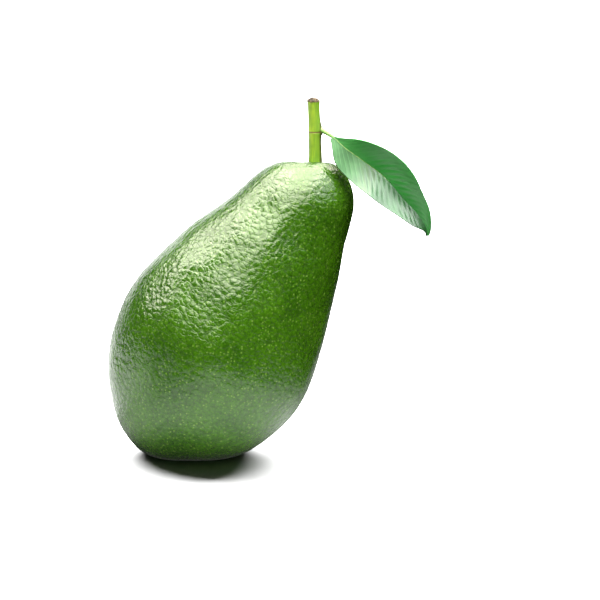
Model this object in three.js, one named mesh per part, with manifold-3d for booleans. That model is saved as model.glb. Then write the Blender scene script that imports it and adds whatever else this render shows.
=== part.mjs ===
// A green avocado as picked: the pear-shaped fruit, its short stem and one small folded leaf.
// It leans on a small flat spot under its weight. Millimetres, +Z up, origin in the middle of the flat spot,
// +X to the side that the fruit leans to, -Y to the viewer.
import * as THREE from "three";
import { mergeVertices } from "three/addons/utils/BufferGeometryUtils.js";
import Module from "manifold-3d";

const wasm = await Module();
wasm.setup();

// Fruit: its outline in the plane that it leans in, as [along its axis, out from its axis]. A point of the
// lower side faces the same one of the upper side, from the blossom end to the wall of the stem's pit.
const FRUIT_LEAN = THREE.MathUtils.degToRad(31); // its axis, from upright
const LOWER_SIDE = [
  [3.2, 11.8],
  [10.2, 20.4],
  [21, 28.9],
  [44, 34.8],
  [67, 29.6],
  [84, 23.9],
  [100, 18.6],
  [111, 14.8],
  [117.2, 7.9],
  [118.7, 4.2],
  [118.8, 1.4],
  [116.6, 0],
];
const UPPER_SIDE = [
  [3.2, -11.8],
  [10.2, -20.4],
  [21, -28.5],
  [44, -34.8],
  [62, -32.3],
  [76, -27.8],
  [88.5, -22.7],
  [98.5, -19.1],
  [105.5, -16.8],
  [110.2, -13.2],
  [112.7, -8.6],
  [112.9, -5.6],
];
const PIT_FLOOR = [113.9, -2.3];
const BLOSSOM_END = { x: -15.1, z: -0.9 }; // where the axis leaves the fruit, before the flat spot is cut
const NECK_NOD = THREE.MathUtils.degToRad(13); // the neck's end leans away from the viewer
const NOD_FROM = 0.45; // share of the way up the fruit
const FRUIT_DETAIL = 20; // pieces that each edge of an icosahedron is split into

// Skin: soft pebbles, one for each cell of a grid at a seeded place in it, larger than life
const PEBBLE_CELL = 6;
const PEBBLE_HEIGHT = 0.55;
const PEBBLE_REACH = 5.1;
const PEBBLE_SEED = 11;
const SWELL_LENGTH = 34; // slow swells, so that the body isn't a turned shape
const SWELL_HEIGHT = 0.3;

// Stem: points of its middle line from the floor of the pit, and its [height, radius]
const STEM_LINE = [
  [0, -0.35, -1.6],
  [0, 0, 0],
  [0.1, 0.3, 2.5],
  [-0.1, 0.45, 11],
  [-0.35, 0.5, 18],
  [-0.65, 0.5, 24.9],
];
const STEM_PROFILE = [
  [-1.6, 2.2],
  [-0.6, 2.75],
  [0.5, 2.9],
  [1.4, 2.5],
  [2.6, 2.18],
  [6, 2.08],
  [11, 2.08],
  [12.1, 2.22],
  [12.7, 2.26],
  [13.4, 2.1],
  [17.5, 2.02],
  [21.7, 1.98],
  [22.8, 2.1],
  [23.5, 2.02],
  [24, 1.4],
  [24.5, 0.45],
];
const STEM_SIDES = 20;
const LEAF_SCAR = [
  [0.3, 0.35, 14.4],
  [2.25, -0.3, 13.3],
]; // the cushion on the stem that the leaf grows out of
const LEAF_SCAR_RADII = [1.7, 1.15];
const FIT_GAP = 0.3; // round a stalk in its socket

// Leaf: its stalk and midrib as one line from the floor of the pit, and the blade's two halves
const LEAF_STALK = [
  [1.3, 0.25, 13.7],
  [2.3, -0.35, 13.25],
  [3.85, -1.6, 12.5],
];
const MIDRIB = [
  [6, -3.4, 11.3],
  [10.3, -5.4, 7.7],
  [15.8, -6.5, 3.9],
  [23.3, -7.2, -1.7],
  [30.2, -7.3, -9.6],
  [34.5, -7, -14.4],
  [37.6, -6.2, -19.4],
  [38.1, -5.8, -22],
];
const STALK_RADIUS = 0.72;
const RIB_END_RADIUS = 0.34;
const RIB_SIDES = 10;
const RIB_STEPS = 44;
const BLADE_FROM = 0.112; // share of the line that is bare stalk
const UPPER_WIDTHS = [0.6, 4.8, 8, 9, 8.7, 6.8, 3.6, 0.35]; // of each half, at even steps to the tip
const LOWER_WIDTHS = [0.6, 6.7, 8.9, 9.2, 8.4, 6, 4, 0.35];
const UPPER_FOLD = THREE.MathUtils.degToRad(25); // each half, turned up towards the viewer
const LOWER_FOLD = THREE.MathUtils.degToRad(38);
const HALF_CUP = 0.7; // how far a half bellies away from the viewer between midrib and edge
const EDGE_WAVE = 0.35;
const EDGE_WAVES = 3;
const BLADE_THICKNESS = 0.64;
const BLADE_ROWS = 34;
const HALF_COLUMNS = 7;

const SECTION_COUNT = 600; // how finely the fruit's outline is followed
const FLOOR_SIZE = 200; // of the block that cuts the flat spot
const MERGE_DISTANCE = 1e-4;
const UP = new THREE.Vector3(0, 0, 1);
const BACK = new THREE.Vector3(0, 1, 0);
const toVector = ([x, y, z]) => new THREE.Vector3(x, y, z);

/** A closed geometry as a solid that can be joined and cut. */
function solidOf(geometry) {
  const bare = geometry.clone();
  for (const name of Object.keys(bare.attributes)) {
    if (name !== "position") bare.deleteAttribute(name);
  }
  const merged = mergeVertices(bare, MERGE_DISTANCE);
  return new wasm.Manifold(
    new wasm.Mesh({
      numProp: 3,
      vertProperties: merged.attributes.position.array,
      triVerts: new Uint32Array(merged.index.array),
    }),
  );
}

/** A named mesh of a solid, in a plain colour. */
function meshOf(name, solid, color, roughness) {
  const { vertProperties, triVerts } = solid.getMesh();
  const geometry = new THREE.BufferGeometry();
  geometry.setAttribute("position", new THREE.BufferAttribute(new Float32Array(vertProperties), 3));
  geometry.setIndex(new THREE.BufferAttribute(new Uint32Array(triVerts), 1));
  geometry.computeVertexNormals();
  const mesh = new THREE.Mesh(geometry, new THREE.MeshStandardMaterial({ color, roughness, metalness: 0 }));
  mesh.name = name;
  return mesh;
}

/** A geometry from rows of points: each row joins the next, and the first and the last row are closed. */
function geometryOfRows(rows) {
  const points = rows.flat();
  const width = rows[0].length;
  const index = [];
  for (let row = 0; row + 1 < rows.length; row++) {
    for (let i = 0; i < width; i++) {
      const a = row * width + i;
      const b = row * width + ((i + 1) % width);
      index.push(a, b, b + width, a, b + width, a + width);
    }
  }
  for (const [first, turned] of [[0, true], [points.length - width, false]]) {
    const middle = points.length;
    const end = points.slice(first, first + width);
    points.push(end.reduce((sum, p) => sum.add(p), new THREE.Vector3()).divideScalar(width));
    for (let i = 0; i < width; i++) {
      const a = first + i;
      const b = first + ((i + 1) % width);
      index.push(...(turned ? [b, a, middle] : [a, b, middle]));
    }
  }
  const geometry = new THREE.BufferGeometry().setFromPoints(points);
  geometry.setIndex(index);
  return geometry;
}

/** A round stalk along a curve, larger all over by extra. Its radii are [share of the curve, radius]. */
function stalkGeometry(curve, radii, sides, extra = 0) {
  const rows = radii.map(([share, radius], row) => {
    const along = curve.getTangentAt(share);
    const beyond = row === 0 ? -extra : row === radii.length - 1 ? extra : 0;
    const middle = curve.getPointAt(share).addScaledVector(along, beyond);
    const side = new THREE.Vector3().crossVectors(BACK, along).normalize();
    const back = new THREE.Vector3().crossVectors(along, side);
    return Array.from({ length: sides }, (_, i) => {
      const turn = (2 * Math.PI * i) / sides;
      return middle
        .clone()
        .addScaledVector(side, (radius + extra) * Math.cos(turn))
        .addScaledVector(back, (radius + extra) * Math.sin(turn));
    });
  });
  return geometryOfRows(rows);
}

/** The place in the leaning plane at a distance along the fruit's axis and out from it. */
function leaningPoint([along, out]) {
  const sin = Math.sin(FRUIT_LEAN);
  const cos = Math.cos(FRUIT_LEAN);
  return new THREE.Vector3(
    BLOSSOM_END.x + along * sin + out * cos,
    0,
    BLOSSOM_END.z + along * cos - out * sin,
  );
}

const fruitOutline = new THREE.CatmullRomCurve3(
  [
    leaningPoint([0, 0]),
    ...LOWER_SIDE.map(leaningPoint),
    leaningPoint(PIT_FLOOR),
    ...UPPER_SIDE.map(leaningPoint).reverse(),
  ],
  true,
  "centripetal",
);

/** The fruit's round section between two points of the outline that face each other. */
function sectionAt(place) {
  const lower = fruitOutline.getPoint(place / 2);
  const upper = fruitOutline.getPoint(1 - place / 2);
  const middle = lower.clone().add(upper).divideScalar(2);
  const across = lower.clone().sub(upper).divideScalar(2);
  const tilt = across.lengthSq() > 0 ? Math.atan2(-across.z, across.x) : 0;
  return { middle, across, tilt, lower, upper };
}

/** The sections from the blossom end to the pit, each with its way along the skin and its bend backwards. */
function listSections(count) {
  const sections = [];
  let way = 0;
  let back = 0;
  for (let i = 0; i <= count; i++) {
    const place = i / count;
    const section = sectionAt(place);
    const share = THREE.MathUtils.clamp((place - NOD_FROM) / (1 - NOD_FROM), 0, 1);
    const nod = NECK_NOD * THREE.MathUtils.smoothstep(share, 0, 1);
    const before = sections.at(-1);
    if (before) {
      way += (section.lower.distanceTo(before.lower) + section.upper.distanceTo(before.upper)) / 2;
      back += Math.max(0, section.middle.z - before.middle.z) * Math.tan(nod);
    }
    sections.push({ ...section, nod, way, back });
  }
  return sections;
}
const SECTIONS = listSections(SECTION_COUNT);

/** The fruit's smooth surface, at a share of the way along the skin and a turn about the axis. */
function fruitPoint(share, turn) {
  const way = share * SECTIONS.at(-1).way;
  const next = Math.max(1, SECTIONS.findIndex((section) => section.way >= way));
  const [a, b] = [SECTIONS[next - 1], SECTIONS[next]];
  const blend = THREE.MathUtils.clamp((way - a.way) / (b.way - a.way), 0, 1);
  const middle = a.middle.clone().lerp(b.middle, blend);
  const across = a.across.clone().lerp(b.across, blend);
  const tilt = THREE.MathUtils.lerp(a.tilt, b.tilt, blend);
  const nod = THREE.MathUtils.lerp(a.nod, b.nod, blend);
  const depth = BACK.clone().multiplyScalar(Math.cos(nod)).addScaledVector(UP, -Math.sin(nod));
  return middle
    .addScaledVector(BACK, THREE.MathUtils.lerp(a.back, b.back, blend))
    .addScaledVector(across, Math.cos(turn))
    .addScaledVector(depth, across.length() * Math.cos(FRUIT_LEAN - tilt) * Math.sin(turn));
}

/** A number from 0 to 1 that depends on a grid cell and a seed alone. */
function cellNumber(i, j, k, seed) {
  const mixed = Math.sin(i * 127.1 + j * 311.7 + k * 74.7 + seed * 53.9) * 43758.5453;
  return mixed - Math.floor(mixed);
}

/** How high the skin's pebbles stand at a point. */
function pebbleHeight(point) {
  const [x, y, z] = point.toArray().map((value) => value / PEBBLE_CELL);
  let nearest = Infinity;
  for (let i = Math.floor(x) - 1; i <= Math.floor(x) + 1; i++) {
    for (let j = Math.floor(y) - 1; j <= Math.floor(y) + 1; j++) {
      for (let k = Math.floor(z) - 1; k <= Math.floor(z) + 1; k++) {
        const dx = i + cellNumber(i, j, k, PEBBLE_SEED) - x;
        const dy = j + cellNumber(i, j, k, PEBBLE_SEED + 1) - y;
        const dz = k + cellNumber(i, j, k, PEBBLE_SEED + 2) - z;
        nearest = Math.min(nearest, PEBBLE_CELL * Math.hypot(dx, dy, dz));
      }
    }
  }
  return (PEBBLE_HEIGHT / 2) * (1 + Math.cos(Math.PI * Math.min(1, nearest / PEBBLE_REACH)));
}

/** How high the slow swells of the body stand at a point. */
function swellHeight(point) {
  const turn = (2 * Math.PI) / SWELL_LENGTH;
  const inPlan = Math.sin(point.x * turn + 1) * Math.sin(point.y * turn + 2);
  return SWELL_HEIGHT * inPlan * Math.sin(point.z * turn);
}

/** The fruit, whole: its pebbled skin, with the flat spot cut level. */
function makeFruit() {
  const ball = new THREE.IcosahedronGeometry(1, FRUIT_DETAIL);
  ball.deleteAttribute("normal");
  ball.deleteAttribute("uv");
  const geometry = mergeVertices(ball, MERGE_DISTANCE);
  const { position } = geometry.attributes;
  for (let i = 0; i < position.count; i++) {
    const ray = new THREE.Vector3().fromBufferAttribute(position, i).normalize();
    const share = 1 - Math.acos(THREE.MathUtils.clamp(ray.z, -1, 1)) / Math.PI;
    position.setXYZ(i, ...fruitPoint(share, Math.atan2(ray.y, ray.x)));
  }
  geometry.computeVertexNormals();
  for (let i = 0; i < position.count; i++) {
    const point = new THREE.Vector3().fromBufferAttribute(position, i);
    const outward = new THREE.Vector3().fromBufferAttribute(geometry.attributes.normal, i);
    position.setXYZ(i, ...point.addScaledVector(outward, pebbleHeight(point) + swellHeight(point)));
  }
  const floor = new THREE.BoxGeometry(FLOOR_SIZE, FLOOR_SIZE, FLOOR_SIZE).translate(0, 0, -FLOOR_SIZE / 2);
  const stemSocket = solidOf(stalkGeometry(stemCurve, stemRadii, STEM_SIDES, FIT_GAP));
  return solidOf(geometry).subtract(solidOf(floor)).subtract(stemSocket);
}

const PIT = fruitPoint(1, 0);
const fromPit = (point) => toVector(point).add(PIT);

const stemCurve = new THREE.CatmullRomCurve3(STEM_LINE.map(fromPit));
const stemFoot = STEM_PROFILE[0][0];
const stemLength = STEM_PROFILE.at(-1)[0] - stemFoot;
const stemRadii = STEM_PROFILE.map(([height, radius]) => [(height - stemFoot) / stemLength, radius]);

const leafCurve = new THREE.CatmullRomCurve3([...LEAF_STALK, ...MIDRIB].map(fromPit));
const ribRadii = Array.from({ length: RIB_STEPS + 1 }, (_, i) => [
  i / RIB_STEPS,
  THREE.MathUtils.lerp(STALK_RADIUS, RIB_END_RADIUS, i / RIB_STEPS),
]);
const upperWidth = new THREE.SplineCurve(UPPER_WIDTHS.map((width, i) => new THREE.Vector2(i, width)));
const lowerWidth = new THREE.SplineCurve(LOWER_WIDTHS.map((width, i) => new THREE.Vector2(i, width)));

/** The stem: a swollen foot, a node with the leaf's cushion half way up, and the dried end of the cut. */
function makeStem() {
  const cushion = new THREE.LineCurve3(...LEAF_SCAR.map(fromPit));
  const cushionRadii = LEAF_SCAR_RADII.map((radius, i) => [i, radius]);
  return solidOf(stalkGeometry(stemCurve, stemRadii, STEM_SIDES))
    .add(solidOf(stalkGeometry(cushion, cushionRadii, RIB_SIDES)))
    .subtract(solidOf(stalkGeometry(leafCurve, ribRadii, RIB_SIDES, FIT_GAP)));
}

/** The middle of the blade's thickness: share of its length, and -1 to 1 from the lower to the upper edge. */
function bladePoint(share, reach) {
  const place = THREE.MathUtils.lerp(BLADE_FROM, 1, share);
  const along = leafCurve.getTangentAt(place);
  const up = new THREE.Vector3().crossVectors(along, BACK).normalize();
  const half = reach > 0 ? upperWidth : lowerWidth;
  const fold = reach > 0 ? UPPER_FOLD : LOWER_FOLD;
  const out = Math.abs(reach);
  const width = half.getPoint(share).y * out;
  const cup = HALF_CUP * Math.sin(Math.PI * out) * Math.sin(Math.PI * share);
  const wave = EDGE_WAVE * out * out * Math.sin(2 * Math.PI * EDGE_WAVES * share + (reach > 0 ? 0 : 2));
  return leafCurve
    .getPointAt(place)
    .addScaledVector(up, Math.sign(reach) * width * Math.cos(fold))
    .addScaledVector(BACK, cup + wave - width * Math.sin(fold));
}

/** The way that the front of the blade faces there. */
function bladeFacing(share, reach) {
  const step = 1e-3;
  const upper = bladePoint(share, Math.min(1, reach + step));
  const lower = bladePoint(share, Math.max(-1, reach - step));
  const further = bladePoint(Math.min(1, share + step), reach);
  const nearer = bladePoint(Math.max(0, share - step), reach);
  return further.sub(nearer).cross(upper.sub(lower)).normalize();
}

/** The leaf: a blade folded along its midrib, joined with the midrib and its bare stalk. */
function makeLeaf() {
  const rows = [];
  for (let row = 0; row <= BLADE_ROWS; row++) {
    const share = row / BLADE_ROWS;
    const front = [];
    const behind = [];
    for (let column = -HALF_COLUMNS; column <= HALF_COLUMNS; column++) {
      const reach = column / HALF_COLUMNS;
      const facing = bladeFacing(share, reach).multiplyScalar(BLADE_THICKNESS / 2);
      front.push(bladePoint(share, reach).add(facing));
      behind.push(bladePoint(share, reach).sub(facing));
    }
    rows.push([...behind, ...front.reverse()]);
  }
  const rib = stalkGeometry(leafCurve, ribRadii, RIB_SIDES);
  return solidOf(geometryOfRows(rows)).add(solidOf(rib));
}

const avocado = new THREE.Group();
avocado.add(meshOf("fruit", makeFruit(), 0x47831d, 0.38));
avocado.add(meshOf("stem", makeStem(), 0x9cc63c, 0.5));
avocado.add(meshOf("leaf", makeLeaf(), 0x2f7d3a, 0.4));

export default avocado;
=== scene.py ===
"""A whole green avocado, leaning on its flat spot, with its cut stem and one small folded leaf.

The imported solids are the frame. Each piece here stands where its solid stands: a pebbled skin on the fruit, a
fibrous stem with its node and dried end, and a thin veined leaf with its rib. Every length is in metres.
"""

import logging
import math
from bisect import bisect_right
from contextlib import contextmanager
from dataclasses import dataclass
from enum import Enum
from typing import Callable, Iterator, Sequence

import bmesh
import bpy
from mathutils import Matrix, Vector


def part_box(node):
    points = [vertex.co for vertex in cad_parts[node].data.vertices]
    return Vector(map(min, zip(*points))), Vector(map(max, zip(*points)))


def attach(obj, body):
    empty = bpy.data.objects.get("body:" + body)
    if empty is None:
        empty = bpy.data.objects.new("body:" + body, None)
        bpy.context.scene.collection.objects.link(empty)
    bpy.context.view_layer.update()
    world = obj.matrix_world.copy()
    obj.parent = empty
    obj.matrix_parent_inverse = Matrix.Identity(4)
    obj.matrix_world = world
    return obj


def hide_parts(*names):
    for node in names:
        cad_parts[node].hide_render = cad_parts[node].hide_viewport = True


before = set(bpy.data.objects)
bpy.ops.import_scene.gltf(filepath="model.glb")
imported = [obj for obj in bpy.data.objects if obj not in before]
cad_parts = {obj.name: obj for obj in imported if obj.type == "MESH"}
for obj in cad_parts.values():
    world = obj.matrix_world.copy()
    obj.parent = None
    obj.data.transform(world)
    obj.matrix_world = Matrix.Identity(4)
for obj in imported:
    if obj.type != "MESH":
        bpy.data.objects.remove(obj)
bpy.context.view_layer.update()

LOG = logging.getLogger("avocado")
MM = 0.001
WELD = 0.001 * MM  # closer points are one
BACK = Vector((0, 1, 0))
LEAN = math.radians(31)  # of the fruit's axis, from upright towards +X
AXIS = Vector((math.sin(LEAN), 0, math.cos(LEAN)))

Object = bpy.types.Object
Socket = bpy.types.NodeSocket
Color = tuple[float, float, float]
Place = tuple[float, float, float]
Pair = tuple[float, float]
Ramp = tuple[float, float, Pair]  # for Graph.rise: where it starts and ends, and its results there
Test = Callable[[Vector], bool]
Shape = Callable[["Graph", object], object]  # takes a graph and the vertices' position, returns where they go
WHITE: Color = (1.0, 1.0, 1.0)
WARM: Color = (1.0, 0.95, 0.8)  # the tint of the lights over the fruit


class Node(Enum):
    """The solids that the pieces stand for."""

    FRUIT = "fruit"
    STEM = "stem"
    LEAF = "leaf"


class Slot(Enum):
    """The record's material slots."""

    SKIN = "skin"
    STEM = "stem"
    LEAF = "leaf"


class Element(Enum):
    """What is selected in edit mode."""

    VERTEX = "VERT"
    FACE = "FACE"


class Side(Enum):
    """The halves of the leaf's blade, by the sign of the way across it."""

    UPPER = 1
    LOWER = -1


def opaque(color: Color) -> tuple[float, float, float, float]:
    """Returns the colour with full alpha, as sockets take it."""
    return (*color, 1.0)


# Modelling by hand


def activate(obj: Object) -> None:
    """Deselects everything, then selects one object and makes it active.

    Args:
        obj: The object to work on.
    """
    bpy.ops.object.select_all(action="DESELECT")
    obj.select_set(True)
    bpy.context.view_layer.objects.active = obj


@contextmanager
def editing(obj: Object, everything: bool = False) -> Iterator[None]:
    """Opens an object in edit mode, and leaves edit mode at the end.

    Args:
        obj: The mesh object to edit.
        everything: Whether it opens with everything selected, or else nothing.

    Yields:
        Nothing, once the object is open.
    """
    activate(obj)
    bpy.ops.object.mode_set(mode="EDIT")
    bpy.ops.mesh.select_mode(type=Element.VERTEX.value)
    bpy.ops.mesh.select_all(action="SELECT" if everything else "DESELECT")
    yield
    bpy.ops.object.mode_set(mode="OBJECT")


def select(obj: Object, kind: Element, test: Test) -> None:
    """Selects, in edit mode, the vertices or the faces whose middle passes a test, and what they span.

    Args:
        obj: The object in edit mode.
        kind: What is selected.
        test: Says whether a middle is wanted.
    """
    bpy.ops.mesh.select_mode(type=kind.value)
    mesh = bmesh.from_edit_mesh(obj.data)
    faces = kind is Element.FACE
    for element in mesh.faces if faces else mesh.verts:
        if test(element.calc_center_median() if faces else element.co):
            element.select = True
    mesh.select_flush_mode()
    bmesh.update_edit_mesh(obj.data)


def finish_with(obj: Object, kind: str, **settings: object) -> None:
    """Adds a modifier to an object and applies it.

    Args:
        obj: The object to change.
        kind: The modifier's type.
        settings: The modifier's settings by name.
    """
    activate(obj)
    bpy.ops.object.modifier_add(type=kind)
    modifier = obj.modifiers[-1]
    for name, value in settings.items():
        setattr(modifier, name, value)
    bpy.ops.object.modifier_apply(modifier=modifier.name)


def take_primitive(name: str) -> Object:
    """Names the primitive that was just added, and puts its place in its mesh.

    Args:
        name: Its new name.

    Returns:
        The primitive.
    """
    obj = bpy.context.object
    obj.name = obj.data.name = name
    activate(obj)
    bpy.ops.object.transform_apply(location=True, rotation=True, scale=True)
    return obj


def hand_over(obj: Object, slot: Slot, materials: Sequence[bpy.types.Material], *stands_for: Node) -> None:
    """Dresses a finished piece and hands it to the frame: its body and the solids that it stands for.

    Args:
        obj: The finished piece.
        slot: The record's material slot; not used.
        materials: Its materials, in the order that its faces number them.
        stands_for: The solids that it replaces.
    """
    for material in materials:
        obj.data.materials.append(material)
    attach(obj, "root")
    if stands_for:
        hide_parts(*(node.value for node in stands_for))
    triangles = sum(len(face.vertices) - 2 for face in obj.data.polygons)
    LOG.info("%s: %d triangles", obj.name, triangles)


def add_object(name: str, data: bpy.types.ID, back: Vector) -> Object:
    """Adds a light or the camera.

    Args:
        name: Its name.
        data: Its light's or camera's data.
        back: The way that it looks back along, from what it looks at.

    Returns:
        The new object, which stands at the origin.
    """
    obj = bpy.data.objects.new(name, data)
    bpy.context.scene.collection.objects.link(obj)
    obj.rotation_euler = back.to_track_quat("Z", "Y").to_euler()
    return obj


def smoothstep(low: float, high: float, value: float) -> float:
    """Returns 0 below low, 1 above high, and a smooth rise between them."""
    share = min(1.0, max(0.0, (value - low) / (high - low)))
    return share * share * (3 - 2 * share)


# Lines and outlines


def cubic(a: object, b: object, leave: object, reach: object, share: float) -> object:
    """Reads the smooth curve from a to b.

    Args:
        a: The number or vector at its start.
        b: The one at its end.
        leave: How fast it leaves a.
        reach: How fast it reaches b.
        share: The way through it, 0 to 1.

    Returns:
        The number or vector there.
    """
    square = -3 * a + 3 * b - 2 * leave - reach
    cube = 2 * a - 2 * b + leave + reach
    return a + leave * share + square * share**2 + cube * share**3


class Line:
    """A smooth line through points, read by the share of its length."""

    STEPS_A_SPAN = 24
    STEP = 0.0005  # share of its length over which its direction is taken

    def __init__(self, points: Sequence[Vector]) -> None:
        """Samples the centripetal Catmull-Rom curve through the points.

        Args:
            points: The points that the line passes, in order.
        """
        ends = [2 * points[0] - points[1], *points, 2 * points[-1] - points[-2]]
        self.samples = [points[0].copy()]
        for i in range(len(points) - 1):
            for step in range(1, self.STEPS_A_SPAN + 1):
                self.samples.append(self._between(*ends[i : i + 4], step / self.STEPS_A_SPAN))
        self.ways = [0.0]
        for a, b in zip(self.samples, self.samples[1:]):
            self.ways.append(self.ways[-1] + (b - a).length)

    @staticmethod
    def _between(before: Vector, a: Vector, b: Vector, after: Vector, share: float) -> Vector:
        """Finds a point between two of the line's points.

        Args:
            before: The point before them.
            a: The first.
            b: The second.
            after: The point after them.
            share: The way from a to b, 0 to 1.

        Returns:
            The point.
        """
        gaps = [math.sqrt((q - p).length) for p, q in ((before, a), (a, b), (b, after))]
        leave = (a - before) / gaps[0] - (b - before) / (gaps[0] + gaps[1]) + (b - a) / gaps[1]
        reach = (b - a) / gaps[1] - (after - a) / (gaps[1] + gaps[2]) + (after - b) / gaps[2]
        return cubic(a, b, leave * gaps[1], reach * gaps[1], share)

    def at(self, share: float) -> Vector:
        """Finds a point of the line.

        Args:
            share: The share of the line's length, 0 to 1.

        Returns:
            The point.
        """
        way = min(1.0, max(0.0, share)) * self.ways[-1]
        low = min(bisect_right(self.ways, way), len(self.ways) - 1) - 1
        part = (way - self.ways[low]) / (self.ways[low + 1] - self.ways[low])
        return self.samples[low].lerp(self.samples[low + 1], part)

    def along(self, share: float) -> Vector:
        """Returns the line's direction at a share of its length."""
        return (self.at(share + self.STEP) - self.at(share - self.STEP)).normalized()


def spline_value(values: Sequence[float], share: float) -> float:
    """Reads a smooth curve through values that stand at even steps.

    Args:
        values: The values, in order.
        share: The way through them, 0 to 1.

    Returns:
        The value there.
    """
    place = min(1.0, max(0.0, share)) * (len(values) - 1)
    i = min(int(place), len(values) - 2)
    a, b = values[i], values[i + 1]
    leave = (b - values[max(0, i - 1)]) / 2
    reach = (values[min(len(values) - 1, i + 2)] - a) / 2
    return cubic(a, b, leave, reach, place - i)


# Node graphs


class Graph:
    """Builds a node tree one node at a time, for a material, the world or a geometry modifier."""

    MIX_FACTOR, MIX_A, MIX_B, MIX_RESULT = 0, 6, 7, 2  # a colour mix node's sockets

    def __init__(self, tree: bpy.types.NodeTree) -> None:
        """Empties a node tree and keeps it.

        Args:
            tree: The tree to build in.
        """
        self.tree = tree
        tree.nodes.clear()

    def add(self, kind: str, inputs: dict | None = None, **settings: object) -> bpy.types.Node:
        """Adds a node.

        Args:
            kind: The node's type name.
            inputs: Values and sockets for its inputs, by name or number.
            settings: The node's own settings by name.

        Returns:
            The new node.
        """
        node = self.tree.nodes.new(kind)
        for name, value in settings.items():
            setattr(node, name, value)
        for name, value in (inputs or {}).items():
            if isinstance(value, Socket):
                self.tree.links.new(value, node.inputs[name])
            else:
                node.inputs[name].default_value = value
        return node

    def math(self, operation: str, a: object, b: object = 0.0) -> Socket:
        """Returns the result of a math node."""
        return self.add("ShaderNodeMath", {0: a, 1: b}, operation=operation).outputs[0]

    def vector(self, operation: str, a: object, b: object, result: str = "Vector") -> Socket:
        """Returns a result of a vector math node."""
        return self.add("ShaderNodeVectorMath", {0: a, 1: b}, operation=operation).outputs[result]

    def dot(self, a: object, b: object) -> Socket:
        """Returns the dot product of two vectors."""
        return self.vector("DOT_PRODUCT", a, b, "Value")

    def off(self, a: object, b: object) -> Socket:
        """Returns the distance between two places."""
        return self.vector("DISTANCE", a, b, "Value")

    def scaled(self, vector: object, factor: object) -> Socket:
        """Returns a vector times a number."""
        node = self.add("ShaderNodeVectorMath", {0: vector, "Scale": factor}, operation="SCALE")
        return node.outputs["Vector"]

    def rise(self, value: object, low: float, high: float, to: Pair = (0, 1)) -> Socket:
        """Maps a value smoothly from one range to another, and holds it at the ends.

        Args:
            value: The value to map.
            low: Where the result is the first of to.
            high: Where the result is the second of to.
            to: The results at low and at high.

        Returns:
            The mapped value.
        """
        inputs = {"Value": value, "From Min": low, "From Max": high, "To Min": to[0], "To Max": to[1]}
        return self.add("ShaderNodeMapRange", inputs, interpolation_type="SMOOTHSTEP").outputs["Result"]

    def noise(self, place: object, size: float, detail: float = 2.0) -> bpy.types.Node:
        """Adds a noise texture whose blotches are about as large as size, in the units of place."""
        return self.add("ShaderNodeTexNoise", {"Vector": place, "Scale": 1 / size, "Detail": detail})

    def blotches(self, place: object, size: float, detail: float) -> Socket:
        """Returns a noise texture's number, 0 to 1."""
        return self.noise(place, size, detail).outputs["Fac"]

    def cells(self, place: object, size: float, smooth: float = 0.0) -> bpy.types.Node:
        """Adds a Voronoi texture.

        Args:
            place: The place that it is read at.
            size: How large its cells are.
            smooth: How much its cells run into each other.

        Returns:
            The texture's node.
        """
        if not smooth:
            return self.add("ShaderNodeTexVoronoi", {"Vector": place, "Scale": 1 / size})
        inputs = {"Vector": place, "Scale": 1 / size, "Smoothness": smooth}
        return self.add("ShaderNodeTexVoronoi", inputs, feature="SMOOTH_F1")

    def to_edge(self, place: object, size: float) -> Socket:
        """Returns how far a place is from the edge of its Voronoi cell, in cell sizes."""
        inputs = {"Vector": place, "Scale": 1 / size}
        return self.add("ShaderNodeTexVoronoi", inputs, feature="DISTANCE_TO_EDGE").outputs["Distance"]

    def blur(self, vector: object, rounds: int, weight: object) -> Socket:
        """Returns a vector blurred over the mesh, in a geometry graph."""
        inputs = {"Value": vector, "Iterations": rounds, "Weight": weight}
        return self.add("GeometryNodeBlurAttribute", inputs, data_type="FLOAT_VECTOR").outputs[0]

    def mix(self, factor: object, a: object, b: object) -> Socket:
        """Returns the mix of two colours.

        Args:
            factor: 0 for a, 1 for b.
            a: The first colour.
            b: The second colour.

        Returns:
            The mixed colour.
        """
        colors = [opaque(color) if isinstance(color, tuple) else color for color in (a, b)]
        inputs = {self.MIX_FACTOR: factor, self.MIX_A: colors[0], self.MIX_B: colors[1]}
        return self.add("ShaderNodeMix", inputs, data_type="RGBA").outputs[self.MIX_RESULT]


class Surface(Graph):
    """The node tree of a material with one principled shader."""

    def __init__(self, name: str) -> None:
        """Makes the material.

        Args:
            name: The material's name.
        """
        self.material = bpy.data.materials.new(name)
        self.material.use_nodes = True
        super().__init__(self.material.node_tree)
        self.shader = self.add("ShaderNodeBsdfPrincipled")
        self.add("ShaderNodeOutputMaterial", {"Surface": self.shader.outputs[0]})
        self.place = self.add("ShaderNodeTexCoord").outputs["Object"]

    def set(self, **values: object) -> None:
        """Sets or links the shader's sockets.

        Args:
            **values: What each socket gets, by its name in small letters with underscores for spaces.
        """
        for name, value in values.items():
            socket = self.shader.inputs[name.replace("_", " ").title().replace("Ior", "IOR")]
            if isinstance(value, Socket):
                self.tree.links.new(value, socket)
            else:
                socket.default_value = value

    def across(self) -> tuple[Socket, Socket]:
        """Reads the piece's own UV map.

        Returns:
            Its two numbers.
        """
        uv = self.add("ShaderNodeUVMap").outputs["UV"]
        parts = self.add("ShaderNodeSeparateXYZ", {0: uv})
        return parts.outputs["X"], parts.outputs["Y"]

    def bump(self, height: object, depth: float, below: object = None) -> Socket:
        """Raises the surface by a height from 0 to 1.

        Args:
            height: The height, 0 to 1.
            depth: How far 1 stands above 0, in metres.
            below: A normal that this bump is added to.

        Returns:
            The bumped normal.
        """
        inputs = {"Height": height, "Distance": depth, "Strength": 1.0}
        if below is not None:
            inputs["Normal"] = below
        return self.add("ShaderNodeBump", inputs).outputs["Normal"]


# Finishes


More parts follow.
